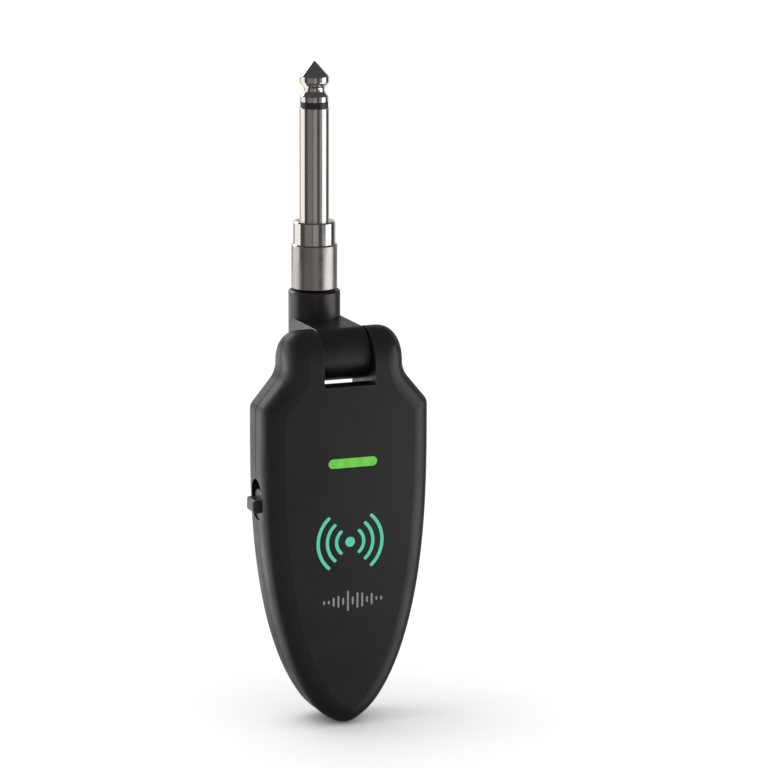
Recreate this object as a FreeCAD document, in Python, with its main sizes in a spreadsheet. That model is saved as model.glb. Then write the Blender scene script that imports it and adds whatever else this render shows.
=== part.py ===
import FreeCAD, Part
import math
import os
import Sketcher

# Wireless guitar transmitter: a flat leaf-shaped housing with two ears at its top, and a
# folding arm between the ears that carries a 6.35 mm jack plug.
# Frame: +Z along the plug towards its tip, -Y towards the front face, +X to the right of a
# viewer who faces the front. The origin is on the plug's axis at the foot of its shaft.
# The housing's own pieces are placed from the point on its middle plane level with the ear tops.

VECTOR = FreeCAD.Vector
X_AXIS = VECTOR(1, 0, 0)
Z_AXIS = VECTOR(0, 0, 1)

# Driving dimensions, in millimetres and degrees.
SIZES = {
    # jack plug
    "shaft_radius": 3.175,
    "shaft_length": 24.5,
    "shaft_root_radius": 2.9,
    "shaft_bore": 2.0,
    "band_radius": 3.0,
    "band_height": 1.35,
    "rod_radius": 1.1,
    "flange_height": 1.1,
    "waist_radius": 1.85,
    "waist_rise": 2.6,
    "bulb_radius": 3.15,
    "bulb_rise": 4.1,
    "bulb_height": 1.3,
    "nose_radius": 0.35,
    "nose_height": 0.2,
    "tip_height": 8.65,
    "waist_round": 1.2,
    "flange_round": 0.3,
    "bulb_round": 0.5,
    "shaft_edge": 0.12,
    "upper_collar_radius": 4.55,
    "upper_collar_height": 4.9,
    "lower_collar_radius": 4.95,
    "lower_collar_height": 10.1,
    "collar_bevel": 0.55,
    "collar_edge": 0.3,
    "stem_radius": 4.1,
    "stem_depth": 6.0,
    "terminal_height": 0.5,
    "terminal_margin": 0.2,
    # folding arm
    "hinge_back": 14.2,
    "hinge_drop": 26.45,
    "barrel_radius": 5.65,
    "arm_width": 11.1,
    "arm_edge": 0.3,
    "tube_radius": 5.6,
    "tube_floor": 2.6,
    "tube_facet": 3.0,
    "tube_edge": 0.35,
    "lead_channel": 2.4,
    "lead_radius": 0.4,
    "pin_radius": 1.6,
    "pin_bore": 0.9,
    "pin_inner_end": 3.0,
    "pin_outer_end": 9.5,
    "pin_clearance": 0.05,
    "bush_radius": 2.6,
    "bush_outer_end": 8.6,
    "clip_radius": 2.2,
    "clip_offset": 8.75,
    "clip_thickness": 0.5,
    "washer_radius": 4.2,
    "washer_thickness": 0.15,
    "washer_gap": 0.05,
    # housing
    "body_width": 37.8,
    "body_height": 86.2,
    "body_depth": 14.0,
    "neck_width": 26.2,
    "neck_height": 7.1,
    "neck_curve": 5.7,
    "shoulder_curve": 2.4,
    "shoulder_angle": 40.0,
    "side_straight": 5.0,
    "leaf_power": 2.55,
    "tip_power": 1.82,
    "rim_round": 4.2,
    "seam_bevel": 0.12,
    "hinge_to_front": 7.6,
    "window_width": 11.6,
    "lip_below": 11.5,
    "swing_gap": 0.54,
    "wall": 1.7,
    "side_wall": 1.8,
    "cavity_top": 22.2,
    "side_pocket_top": 13.8,
    "side_pocket_edge": 7.6,
    "ear_bore_end": 10.0,
    "lead_slot_inner": 9.9,
    "lead_slot_outer": 11.7,
    "lead_slot_depth": 1.6,
    "lead_slot_room": 0.4,
    # screws
    "screw_across": 8.2,
    "screw_below": 10.2,
    "screw_hole_radius": 1.4,
    "screw_head_radius": 1.3,
    "screw_head_height": 1.2,
    "screw_seat": 2.4,
    "screw_radius": 0.9,
    "screw_play": 0.1,
    "screw_length": 8.0,
    "cross_length": 1.6,
    "cross_width": 0.4,
    "cross_depth": 0.7,
    # light bar
    "light_length": 11.2,
    "light_height": 2.2,
    "light_below": 28.0,
    "light_across": 0.6,
    "light_flange": 1.1,
    "light_flange_thickness": 0.7,
    # power switch
    "slot_length": 9.0,
    "slot_width": 5.8,
    "slot_below": 36.0,
    "slot_inner": 14.0,
    "slider_length": 6.6,
    "slider_gap": 0.2,
    "slider_rest_gap": 0.1,
    "slider_face": 18.2,
    "ridge_face": 20.2,
    "ridge_height": 2.8,
    "ridge_width": 4.6,
    "ridge_round": 0.6,
    "slider_flange_face": 16.2,
    "slider_flange_thickness": 0.8,
    "slider_flange_length": 9.8,
    "slider_flange_width": 7.0,
    "slider_stem": 1.4,
    "slider_stem_reach": 13.6,
    "stem_room": 0.15,
    # charging port, set square to the right shoulder
    "port_width": 9.0,
    "port_height": 3.2,
    "port_depth": 6.9,
    "port_recess": 0.4,
    "port_rise": 0.5,
    "port_skin": 0.3,
    "port_corner": 1.5,
    "port_tongue_width": 6.7,
    "port_tongue_height": 0.7,
    "port_tongue_reach": 5.6,
    "port_root_width": 7.1,
    "port_root_height": 2.0,
    "port_root_depth": 1.2,
    "port_clearance": 0.1,
    # main board
    "board_inset": 2.3,
    "board_top": 23.0,
    "board_tab_top": 14.3,
    "board_tab_edge": 8.0,
    "board_notch_edge": 14.7,
    "board_notch_margin": 2.5,
    "board_thickness": 1.0,
    "board_back": 1.6,
    "post_radius": 1.2,
    "post_across": 9.5,
    "post_below": 36.0,
    "post_low_below": 70.0,
    # leads
    "lead_meeting": 2.6,
    "lead_bend": 1.3,
    "lead_ear_corner": 10.9,
    "lead_turn_below": 17.5,
    "lead_pad_across": 8.5,
    "lead_pad_below": 25.0,
    "battery_lead_rise": 3.5,
    "positive_lead_across": 7.5,
    "negative_lead_across": 9.5,
    "cell_round": 1.2,
    "shield_skin": 0.2,
    "led_spacing": 3.0,
}

# Plain box-shaped pieces held inside the housing, each with its size (wide, deep, tall) and
# place: how far its centre is across, how far its front is behind the middle plane, and how
# far its top is below the ear tops.
INNER_BOXES = {
    "battery_cell": (22.0, 4.8, 33.0, 0.0, 0.1, 35.0),
    "battery_pad": (18.0, 0.4, 28.0, 0.0, 4.9, 37.5),
    "processor_chip": (5.0, 0.9, 5.0, 0.0, -3.5, 45.5),
    "shield_can": (13.0, 1.9, 11.0, 0.0, -4.5, 42.5),
    "charge_chip": (3.0, 0.9, 3.0, 5.5, -1.6, 26.0),
    "converter_chip": (4.0, 0.9, 4.0, -3.0, -1.6, 25.5),
    "crystal": (3.2, 0.8, 2.5, -8.5, -3.4, 48.0),
    "chip_antenna": (8.0, 1.2, 2.0, 0.0, -3.8, 76.0),
    "status_led": (1.6, 0.8, 0.8, 0.6, -3.4, 27.6),
    "switch_frame": (2.6, 3.0, 9.6, -13.3, -1.6, 31.2),
}
BOX_SIDES = ("wide", "deep", "tall", "across", "behind", "below")
LED_COUNT = 3
LEAF_STEPS = 9
# how much of a run each bend of a lead may take, and how far a lead's volume may be off
BEND_SHARE = 0.45
VOLUME_SHARE = 0.02
# millimetres: places closer than TOUCH are one place, and a cutting shape stands PAST the surface
TOUCH = 0.01
PAST = 1.0
GUESS_RADIUS = 5.0

doc = FreeCAD.newDocument("guitar_transmitter")
sheet = doc.addObject("Spreadsheet::Sheet", "dims")
subparts = []


def fill_sheet():
    """One row a dimension: its name, its plain number and its alias."""
    rows = dict(SIZES)
    for box_name, numbers in INNER_BOXES.items():
        for side, number in zip(BOX_SIDES, numbers):
            rows[box_name + "_" + side] = number
    for row, (alias, number) in enumerate(rows.items(), 1):
        sheet.set("A" + str(row), alias)
        sheet.set("B" + str(row), str(number))
        sheet.setAlias("B" + str(row), alias)
    doc.recompute()


fill_sheet()


def dim(alias):
    """A driving dimension's number, for curves that are worked out here."""
    return float(sheet.get(alias))


# Places that several pieces share, as expressions of the driving dimensions.
HINGE_Y = "-dims.hinge_back"
HINGE_Z = "-dims.hinge_drop"
EAR_TOP = "(dims.barrel_radius - dims.hinge_drop)"
MID_Y = "(dims.body_depth / 2 - dims.hinge_back - dims.hinge_to_front)"
HINGE_BEHIND_MID = "(dims.hinge_to_front - dims.body_depth / 2)"
TUBE_TOP = "-(dims.upper_collar_height + dims.lower_collar_height)"
STEM_END = "-(dims.upper_collar_height + dims.lower_collar_height + dims.stem_depth)"
SLIDER_BELOW = "(dims.slot_below + dims.slot_length / 2 - dims.slider_length / 2 - dims.slider_rest_gap)"


def keep(piece, label):
    """Names a finished sub-part and lists it for export."""
    piece.Label = label
    subparts.append(piece)
    return piece


def move(piece, across, along, up):
    """Binds a piece's place to the sheet."""
    piece.setExpression(".Placement.Base.x", str(across))
    piece.setExpression(".Placement.Base.y", str(along))
    piece.setExpression(".Placement.Base.z", str(up))


def box(name, wide, deep, tall, place):
    piece = doc.addObject("Part::Box", name)
    piece.setExpression("Length", str(wide))
    piece.setExpression("Width", str(deep))
    piece.setExpression("Height", str(tall))
    move(piece, *place)
    return piece


def rod(name, radius, length, place, axis):
    piece = doc.addObject("Part::Cylinder", name)
    piece.setExpression("Radius", radius)
    piece.setExpression("Height", length)
    piece.Placement.Rotation = FreeCAD.Rotation(Z_AXIS, axis)
    move(piece, *place)
    return piece


def cut(name, base, tool):
    piece = doc.addObject("Part::Cut", name)
    piece.Base = base
    piece.Tool = tool
    return piece


def group(name, pieces):
    """Separate solids of one node, such as identical fasteners."""
    piece = doc.addObject("Part::Compound", name)
    piece.Links = pieces
    return piece


def fuse(name, pieces):
    piece = doc.addObject("Part::MultiFuse", name)
    piece.Shapes = pieces
    return piece


# ---- PartDesign helpers ----

def new_body(name, place):
    body = doc.addObject("PartDesign::Body", name)
    move(body, *place)
    return body


def new_sketch(body, role, name, offset=None):
    sketch = body.newObject("Sketcher::SketchObject", name)
    planes = [item for item in body.Origin.OriginFeatures if item.Role == role]
    sketch.AttachmentSupport = [(planes[0], "")]
    sketch.MapMode = "FlatFace"
    if offset:
        sketch.setExpression(".AttachmentOffset.Base.z", offset)
    return sketch


def pin_point(sketch, geometry, end, across, up):
    """Fixes a sketch point at two expressions, measured from the sketch's origin."""
    for kind, formula in (("DistanceX", across), ("DistanceY", up)):
        index = sketch.addConstraint(Sketcher.Constraint(kind, -1, 1, geometry, end, 1.0))
        sketch.setExpression("Constraints[%d]" % index, str(formula))


def add_polygon(sketch, corners):
    """A closed outline of straight lines through corners given as expressions."""
    count = len(corners)
    starts = []
    for index in range(count):
        turn = 2 * math.pi * index / count
        starts.append(VECTOR(GUESS_RADIUS * math.cos(turn), GUESS_RADIUS * math.sin(turn), 0))
    for index in range(count):
        sketch.addGeometry(Part.LineSegment(starts[index], starts[(index + 1) % count]), False)
    for index in range(count):
        sketch.addConstraint(Sketcher.Constraint("Coincident", index, 2, (index + 1) % count, 1))
    for index, (across, up) in enumerate(corners):
        pin_point(sketch, index, 1, across, up)


def add_circle(sketch, across, up, radius):
    circle = sketch.addGeometry(Part.Circle(VECTOR(0, 0, 0), Z_AXIS, 1.0), False)
    index = sketch.addConstraint(Sketcher.Constraint("Radius", circle, 1.0))
    sketch.setExpression("Constraints[%d]" % index, str(radius))
    pin_point(sketch, circle, 3, across, up)


def add_curves(sketch, curves):
    """A closed outline of worked-out curves that meet end to end, each held where it is."""
    for curve in curves:
        index = sketch.addGeometry(curve, False)
        sketch.addConstraint(Sketcher.Constraint("Block", index))


def add_feature(body, kind, name, sketch, length=None, symmetric=False, reverse=False):
    """A pad or pocket of a sketch; with no length it runs right through."""
    feature = body.newObject("PartDesign::" + kind, name)
    feature.Profile = sketch
    if length is None:
        feature.Type = "ThroughAll"
    else:
        feature.setExpression("Length", length)
    if symmetric:
        feature.SideType = "Symmetric"
    feature.Reversed = reverse
    doc.recompute()
    return feature


def edge_names(shape, test):
    return ["Edge%d" % index for index, edge in enumerate(shape.Edges, 1) if test(edge)]


def round_edges(body, name, test, radius, kind="Fillet"):
    """Rounds or bevels the edges of the body so far that pass a test."""
    base = body.Tip
    feature = body.newObject("PartDesign::" + kind, name)
    feature.Base = (base, edge_names(base.Shape, test))
    feature.setExpression("Radius" if kind == "Fillet" else "Size", str(radius))
    body.Tip = feature
    doc.recompute()
    return feature


def turned(name, corners, place=(0, 0, 0)):
    """A body turned about its own Z axis from a half section of straight lines."""
    body = new_body(name, place)
    sketch = new_sketch(body, "XZ_Plane", name + "_section")
    add_polygon(sketch, corners)
    feature = body.newObject("PartDesign::Revolution", name + "_turn")
    feature.Profile = sketch
    feature.ReferenceAxis = (sketch, ["V_Axis"])
    feature.Angle = 360.0
    doc.recompute()
    return body


def ring_edge(radius, height):
    """A test for a full circle about Z of one radius at one height."""
    def test(edge):
        curve = edge.Curve
        return (isinstance(curve, Part.Circle) and abs(curve.Radius - radius) < TOUCH
                and abs(curve.Center.z - height) < TOUCH)
    return test


# ---- Jack plug ----

def make_plug():
    sleeve = turned("plug_sleeve", [
        ("dims.shaft_bore", STEM_END),
        ("dims.shaft_root_radius", STEM_END),
        ("dims.shaft_root_radius", "0"),
        ("dims.shaft_radius", "0"),
        ("dims.shaft_radius", "dims.shaft_length"),
        ("dims.shaft_bore", "dims.shaft_length"),
    ])
    end = ring_edge(dim("shaft_radius"), dim("shaft_length"))
    round_edges(sleeve, "sleeve_round", end, "dims.shaft_edge")
    keep(sleeve, "plug_sleeve")

    upper = turned("upper_collar", [
        ("dims.shaft_root_radius", "-dims.upper_collar_height"),
        ("dims.upper_collar_radius", "-dims.upper_collar_height"),
        ("dims.upper_collar_radius", "0"),
        ("dims.shaft_root_radius", "0"),
    ])
    rim = ring_edge(dim("upper_collar_radius"), 0)
    round_edges(upper, "upper_bevel", rim, "dims.collar_edge", "Chamfer")
    keep(upper, "upper_collar")

    lower = turned("lower_collar", [
        ("dims.shaft_root_radius", STEM_END),
        ("dims.stem_radius", STEM_END),
        ("dims.stem_radius", TUBE_TOP),
        ("dims.lower_collar_radius - dims.collar_bevel", TUBE_TOP),
        ("dims.lower_collar_radius", TUBE_TOP + " + dims.collar_bevel"),
        ("dims.lower_collar_radius", "-dims.upper_collar_height"),
        ("dims.shaft_root_radius", "-dims.upper_collar_height"),
    ])
    rim = ring_edge(dim("lower_collar_radius"), -dim("upper_collar_height"))
    round_edges(lower, "lower_bevel", rim, "dims.collar_edge", "Chamfer")
    keep(lower, "lower_collar")

    band_top = "(dims.shaft_length + dims.band_height)"
    insulator = turned("plug_insulator", [
        ("dims.rod_radius", STEM_END + " - dims.terminal_height"),
        ("dims.shaft_bore", STEM_END + " - dims.terminal_height"),
        ("dims.shaft_bore", "dims.shaft_length"),
        ("dims.band_radius", "dims.shaft_length"),
        ("dims.band_radius", band_top),
        ("dims.rod_radius", band_top),
    ])
    keep(insulator, "plug_insulator")

    tip = turned("plug_tip", [
        ("0", STEM_END + " - 2 * dims.terminal_height"),
        ("dims.rod_radius", STEM_END + " - 2 * dims.terminal_height"),
        ("dims.rod_radius", band_top),
        ("dims.band_radius", band_top),
        ("dims.band_radius", band_top + " + dims.flange_height"),
        ("dims.waist_radius", band_top + " + dims.waist_rise"),
        ("dims.bulb_radius", band_top + " + dims.bulb_rise"),
        ("dims.bulb_radius", band_top + " + dims.bulb_rise + dims.bulb_height"),
        ("dims.nose_radius", band_top + " + dims.tip_height - dims.nose_height"),
        ("0", band_top + " + dims.tip_height"),
    ])
    start = dim("shaft_length") + dim("band_height")
    waist = ring_edge(dim("waist_radius"), start + dim("waist_rise"))
    round_edges(tip, "waist_round", waist, "dims.waist_round")
    for radius, rise in (("band_radius", "flange_height"), ("bulb_radius", "bulb_rise")):
        rim = ring_edge(dim(radius), start + dim(rise))
        round_edges(tip, rise + "_round", rim, "dims.flange_round")
    shoulder = ring_edge(dim("bulb_radius"), start + dim("bulb_rise") + dim("bulb_height"))
    round_edges(tip, "shoulder_round", shoulder, "dims.bulb_round")
    keep(tip, "plug_tip")

    sleeve_tag = turned("sleeve_terminal", [
        ("dims.shaft_bore", STEM_END + " - dims.terminal_height"),
        ("dims.stem_radius - dims.terminal_margin", STEM_END + " - dims.terminal_height"),
        ("dims.stem_radius - dims.terminal_margin", STEM_END),
        ("dims.shaft_bore", STEM_END),
    ])
    keep(sleeve_tag, "sleeve_terminal")

    tip_tag = turned("tip_terminal", [
        ("dims.lead_radius", STEM_END + " - 3 * dims.terminal_height"),
        ("1.5 * dims.rod_radius", STEM_END + " - 3 * dims.terminal_height"),
        ("1.5 * dims.rod_radius", STEM_END + " - 2 * dims.terminal_height"),
        ("dims.lead_radius", STEM_END + " - 2 * dims.terminal_height"),
    ])
    keep(tip_tag, "tip_terminal")


# ---- Folding arm ----

def make_arm():
    """Barrel, bar and tube in one moulding, hollow for the plug's stem and the lead."""
    body = new_body("arm_body", (0, HINGE_Y, HINGE_Z))
    profile = new_sketch(body, "YZ_Plane", "barrel_profile")
    add_circle(profile, 0, 0, "dims.barrel_radius")
    add_feature(body, "Pad", "barrel", profile, "dims.arm_width", symmetric=True)
    side = new_sketch(body, "YZ_Plane", "bar_profile")
    add_polygon(side, [
        ("0", "-dims.barrel_radius"),
        ("dims.hinge_back", "-dims.barrel_radius"),
        ("dims.hinge_back", "dims.barrel_radius"),
        ("0", "dims.barrel_radius"),
    ])
    add_feature(body, "Pad", "bar", side, "dims.arm_width", symmetric=True)
    half = dim("arm_width") / 2
    reach = dim("barrel_radius")

    def side_edge(edge):
        points = [vertex.Point for vertex in edge.Vertexes]
        on_side = all(abs(abs(point.x) - half) < TOUCH for point in points)
        flat = all(abs(abs(point.z) - reach) < TOUCH for point in points)
        return on_side and flat

    round_edges(body, "side_bevel", side_edge, "dims.arm_edge")
    foot = new_sketch(body, "XY_Plane", "tube_profile", "-dims.barrel_radius")
    add_circle(foot, 0, "dims.hinge_back", "dims.tube_radius")
    tube_length = "dims.hinge_drop + dims.barrel_radius + " + TUBE_TOP
    add_feature(body, "Pad", "tube", foot, tube_length)
    facet = new_sketch(body, "YZ_Plane", "facet_profile")
    heel = "(dims.hinge_back + dims.tube_radius)"
    add_polygon(facet, [
        (heel + " - dims.tube_facet - %s" % PAST, "-dims.barrel_radius - %s" % PAST),
        (heel + " + %s" % PAST, "-dims.barrel_radius - %s" % PAST),
        (heel + " + %s" % PAST, "-dims.barrel_radius + dims.tube_facet + %s" % PAST),
    ])
    add_feature(body, "Pocket", "tube_facet", facet, "4 * dims.tube_radius", symmetric=True)
    top = dim("hinge_drop") - dim("upper_collar_height") - dim("lower_collar_height")
    round_edges(body, "tube_rim", ring_edge(dim("tube_radius"), top), "dims.tube_edge", "Chamfer")
    well = new_sketch(body, "XY_Plane", "well_profile", "-dims.barrel_radius + dims.tube_floor")
    add_circle(well, 0, "dims.hinge_back", "dims.stem_radius")
    add_feature(body, "Pocket", "well", well, reverse=True)
    bore = new_sketch(body, "YZ_Plane", "pin_bore_profile")
    add_circle(bore, 0, 0, "dims.pin_radius")
    add_feature(body, "Pocket", "pin_bore", bore, "2 * dims.arm_width", symmetric=True)
    channel = new_sketch(body, "YZ_Plane", "channel_profile")
    add_polygon(channel, [
        ("0", "-dims.lead_channel / 2"),
        ("dims.hinge_back", "-dims.lead_channel / 2"),
        ("dims.hinge_back", "dims.lead_channel / 2"),
        ("0", "dims.lead_channel / 2"),
    ])
    add_feature(body, "Pocket", "channel", channel, "dims.lead_channel", symmetric=True)
    keep(body, "arm_body")


def make_hinge():
    """Pins pressed in the barrel, turning in bushes that sit in the ears."""
    pin_length = "(dims.pin_outer_end - dims.pin_inner_end)"
    right_end = ("dims.pin_inner_end", HINGE_Y, HINGE_Z)
    left_end = ("-dims.pin_outer_end", HINGE_Y, HINGE_Z)
    keep(rod("pin_right", "dims.pin_radius", pin_length, right_end, X_AXIS), "hinge_pin_right")
    left = rod("pin_left", "dims.pin_radius", pin_length, left_end, X_AXIS)
    hollow = rod("pin_left_hollow", "dims.pin_bore", pin_length, left_end, X_AXIS)
    keep(cut("hinge_pin_left", left, hollow), "hinge_pin_left")

    rings = {
        "hinge_bushes": ("dims.bush_radius", "dims.pin_radius + dims.pin_clearance",
                         "dims.window_width / 2", "dims.bush_outer_end - dims.window_width / 2"),
        "retaining_clips": ("dims.clip_radius", "dims.pin_radius", "dims.clip_offset", "dims.clip_thickness"),
        "friction_washers": ("dims.washer_radius", "dims.pin_radius + dims.pin_clearance",
                             "dims.arm_width / 2 + dims.washer_gap", "dims.washer_thickness"),
    }
    for name, (outer, inner, start, thickness) in rings.items():
        pair = []
        for side, offset in (("left", "-(%s) - (%s)" % (start, thickness)), ("right", start)):
            place = (offset, HINGE_Y, HINGE_Z)
            disc = rod(name + "_disc_" + side, outer, thickness, place, X_AXIS)
            hole = rod(name + "_hole_" + side, inner, thickness, place, X_AXIS)
            pair.append(cut(name + "_" + side, disc, hole))
        keep(group(name, pair), name)


# ---- Housing shells ----

def leaf_point(turn, inset):
    """A point of the leaf's right edge: turn runs from 0 at the shoulder to 90 at the tip."""
    half = dim("body_width") / 2
    start = shoulder_end() + dim("side_straight")
    length = dim("body_height") - start
    tip_power = dim("tip_power")
    leaf_power = dim("leaf_power")
    # a share across of half and a share down of length, with across^tip_power + down^leaf_power = 1
    angle = math.radians(turn)
    share_across = max(math.cos(angle), 0.0) ** (2 / tip_power)
    share_down = math.sin(angle) ** (2 / leaf_power)
    across = half * share_across
    down = start + length * share_down
    normal = VECTOR(tip_power * share_across ** (tip_power - 1) / half,
                    -leaf_power * share_down ** (leaf_power - 1) / length, 0)
    normal.normalize()
    return VECTOR(across, -down, 0) - normal * inset


def shoulder_end():
    """How far below the ear tops the shoulder's curve ends."""
    angle = math.radians(dim("shoulder_angle"))
    curves = dim("neck_curve") + dim("shoulder_curve")
    return dim("neck_height") + curves * math.sin(angle) + slope_length() * math.cos(angle)


def slope_length():
    """The straight stretch of the shoulder between its two curves."""
    angle = math.radians(dim("shoulder_angle"))
    rise = (dim("body_width") - dim("neck_width")) / 2
    curves = dim("neck_curve") + dim("shoulder_curve")
    return (rise - curves * (1 - math.cos(angle))) / math.sin(angle)


def leaf_edge(side, inset):
    """One edge of the leaf as a smooth curve from shoulder to tip; side is 1 or -1."""
    points = []
    for step in range(LEAF_STEPS + 1):
        point = leaf_point(90.0 * step / LEAF_STEPS, inset)
        points.append(VECTOR(side * point.x, point.y, 0))
    points[-1].x = 0
    curve = Part.BSplineCurve()
    curve.interpolate(Points=points, InitialTangent=VECTOR(0, -1, 0), FinalTangent=VECTOR(-side, 0, 0))
    return curve


def arc_about(side, centre, radius, first, last):
    """An arc about a centre of the right side, between two angles in degrees."""
    points = []
    for degrees in (first, (first + last) / 2, last):
        turn = math.radians(degrees)
        point = centre + VECTOR(radius * math.cos(turn), radius * math.sin(turn), 0)
        points.append(VECTOR(side * point.x, point.y, 0))
    return Part.Arc(*points)


def neck_centre():
    return VECTOR(dim("neck_width") / 2 + dim("neck_curve"), -dim("neck_height"), 0)


def side_line(side, inset):
    """The straight stretch of a side between its shoulder and the leaf's edge."""
    across = side * (dim("body_width") / 2 - inset)
    return Part.LineSegment(VECTOR(across, -shoulder_end(), 0),
                            VECTOR(across, -shoulder_end() - dim("side_straight"), 0))


def shoulder_centre():
    return VECTOR(dim("body_width") / 2 - dim("shoulder_curve"), -shoulder_end(), 0)


def slope_ends(inset):
    """The ends of the shoulder's straight stretch on the right side, moved inwards by inset."""
    turn = math.radians(dim("shoulder_angle"))
    outward = VECTOR(math.cos(turn), math.sin(turn), 0)
    foot = neck_centre() - outward * (dim("neck_curve") + inset)
    head = shoulder_centre() + outward * (dim("shoulder_curve") - inset)
    return foot, head


def outline_curves(side):
    """One side of the housing's outline, from its middle line at the top round to the tip."""
    neck = side * dim("neck_width") / 2
    corner = VECTOR(neck, 0, 0)
    neck_foot = VECTOR(neck, -dim("neck_height"), 0)
    slope = dim("shoulder_angle")
    foot, head = [VECTOR(side * point.x, point.y, 0) for point in slope_ends(0)]
    return [
        Part.LineSegment(VECTOR(0, 0, 0), corner),
        Part.LineSegment(corner, neck_foot),
        arc_about(side, neck_centre(), dim("neck_curve"), 180, 180 + slope),
        Part.LineSegment(foot, head),
        arc_about(side, shoulder_centre(), dim("shoulder_curve"), slope, 0),
        side_line(side, 0),
        leaf_edge(side, 0),
    ]


def cavity_curves(side, inset, side_top, middle_top, pocket_edge):
    """One side of an inset outline that steps up beside the hinge pocket."""
    foot, head = slope_ends(inset)
    along = (foot.y + side_top) / (foot.y - head.y)
    start = foot + (head - foot) * along
    rim = VECTOR(side * start.x, -side_top, 0)
    inner_top = VECTOR(side * pocket_edge, -side_top, 0)
    inner_foot = VECTOR(side * pocket_edge, -middle_top, 0)
    slope = dim("shoulder_angle")
    return [
        Part.LineSegment(VECTOR(0, -middle_top, 0), inner_foot),
        Part.LineSegment(inner_foot, inner_top),
        Part.LineSegment(inner_top, rim),
        Part.LineSegment(rim, VECTOR(side * head.x, head.y, 0)),
        arc_about(side, shoulder_centre(), dim("shoulder_curve") - inset, slope, 0),
        side_line(side, inset),
        leaf_edge(side, inset),
    ]


def port_frame():
    """The middle of the port's mouth on the right slope, its inward way and its long way."""
    foot, head = slope_ends(0)
    turn = math.radians(dim("shoulder_angle"))
    inward = VECTOR(-math.cos(turn), -math.sin(turn), 0)
    down_slope = VECTOR(math.sin(turn), -math.cos(turn), 0)
    return (foot + head) / 2 - down_slope * dim("port_rise"), inward, down_slope


def port_rectangle(width, start, end):
    """A rectangle square to the slope, from one depth below its surface to another."""
    middle, inward, down_slope = port_frame()
    corners = [
        middle + inward * start - down_slope * (width / 2),
        middle + inward * start + down_slope * (width / 2),
        middle + inward * end + down_slope * (width / 2),
        middle + inward * end - down_slope * (width / 2),
    ]
    return [Part.LineSegment(corners[index - 1], corners[index]) for index in range(4)]


def stadium(across, up, length, width):
    """A slot with round ends, its long way up the sketch."""
    radius = width / 2
    reach = length / 2 - radius
    low = VECTOR(across, up - reach, 0)
    high = VECTOR(across, up + reach, 0)
    right = VECTOR(radius, 0, 0)
    return [
        Part.LineSegment(low + right, high + right),
        Part.Arc(high + right, high + VECTOR(0, radius, 0), high - right),
        Part.LineSegment(high - right, low - right),
        Part.Arc(low - right, low - VECTOR(0, radius, 0), low + right),
    ]


def pill(across, up, length, height):
    """A slot with round ends, its long way across the sketch."""
    radius = height / 2
    reach = length / 2 - radius
    left = VECTOR(across - reach, up, 0)
    right = VECTOR(across + reach, up, 0)
    top = VECTOR(0, radius, 0)
    return [
        Part.LineSegment(left + top, right + top),
        Part.Arc(right + top, right + VECTOR(radius, 0, 0), right - top),
        Part.LineSegment(right - top, left - top),
        Part.Arc(left - top, left - VECTOR(radius, 0, 0), left + top),
    ]


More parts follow.
